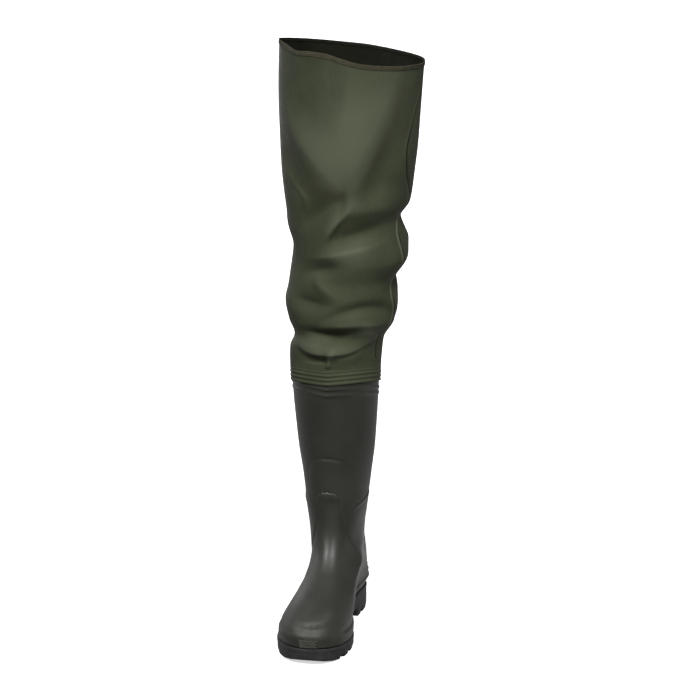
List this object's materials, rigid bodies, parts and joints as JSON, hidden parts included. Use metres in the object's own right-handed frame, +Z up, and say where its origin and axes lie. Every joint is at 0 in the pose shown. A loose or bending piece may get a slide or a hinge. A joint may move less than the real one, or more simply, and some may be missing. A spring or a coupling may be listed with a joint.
{
  "type": "thigh wader",
  "caption": "Hollow thigh-length wader boot for the right foot: lugged sole, moulded foot and shaft, and a creased coated-fabric leg welded over the shaft in a ribbed cuff.",
  "frame": {"origin": "centre of the heel's flat tread, on the floor", "axes": "+Z up the leg, -Y towards the toe, +X towards the inner side of the leg"},
  "size_m": [0.2068, 0.3401, 0.8335],
  "materials": {
    "outsole_black": "matt moulded",
    "boot_green": "satin moulded",
    "leg_green": "coated, low sheen",
    "tape_olive": "matt woven tape",
    "insole_grey": "felt"
  },
  "bodies": {
    "root": {"outsole": "outsole_black", "boot_upper": "boot_green", "shin_guard": "boot_green", "insole": "insole_grey", "thigh_leg": "leg_green", "leg_seam": "leg_green", "rim_binding": "tape_olive"}
  },
  "joints": []
}
